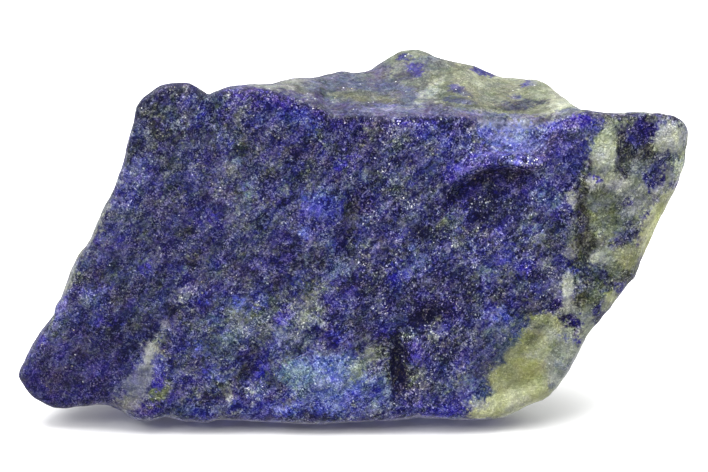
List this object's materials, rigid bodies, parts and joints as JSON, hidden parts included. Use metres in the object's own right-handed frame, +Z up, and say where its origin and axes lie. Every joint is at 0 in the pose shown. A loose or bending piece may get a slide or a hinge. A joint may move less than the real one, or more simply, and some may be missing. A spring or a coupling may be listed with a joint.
{
  "type": "rough lazurite crystal",
  "caption": "Rough leaning block of fine-grained blue lazurite with a pale grey-green calcite end and top hump, standing on a small flat spot on its long lower edge.",
  "frame": {"origin": "centre of the stone's plan outline, on the surface that its small flat spot rests on", "axes": "+X along the stone's length, towards the calcite end; +Y from the broad blue face to the back; +Z up"},
  "size_m": [0.0562, 0.0168, 0.0306],
  "materials": {
    "lazurite": "rough fine-grained broken surface, blue-violet with white and grey-green calcite"
  },
  "bodies": {
    "root": {"lazurite_crystal": "lazurite"}
  },
  "joints": []
}
